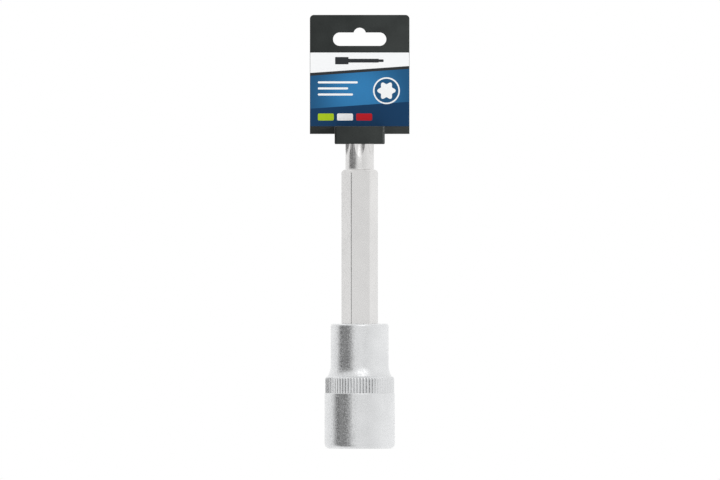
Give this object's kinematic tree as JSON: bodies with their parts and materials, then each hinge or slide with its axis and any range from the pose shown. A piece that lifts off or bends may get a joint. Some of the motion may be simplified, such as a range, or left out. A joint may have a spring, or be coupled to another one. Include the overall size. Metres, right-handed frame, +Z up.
{
  "type": "torx bit socket",
  "caption": "Six-lobe bit pressed into a knurled square-drive socket, its tip held in a charcoal plastic shop hanger with a printed card and a hook slot.",
  "frame": {"origin": "centre of the drive end face, which the tool stands on", "axes": "+Z up along the tool from the drive end to the tip, -Y towards the printed front of the hanger, +X to the right seen from the front"},
  "size_m": [0.0312, 0.022, 0.1357],
  "materials": {
    "satin_chrome": "satin chrome with a fine grain",
    "satin_steel": "satin steel with a fine grain",
    "charcoal_plastic": "moulded, finely textured",
    "printed_card": "printed, satin varnish"
  },
  "bodies": {
    "tool": {"drive_socket": "satin_chrome", "torx_bit": "satin_steel"},
    "hanger": {"hanger_plate": "charcoal_plastic", "tip_holder": "charcoal_plastic", "printed_card": "printed_card"}
  },
  "joints": [
    {"name": "hanger_pull_off", "type": "slide", "parent": "tool", "child": "hanger", "axis": [0, 0, 1], "range_m": [0, 0.012]}
  ]
}
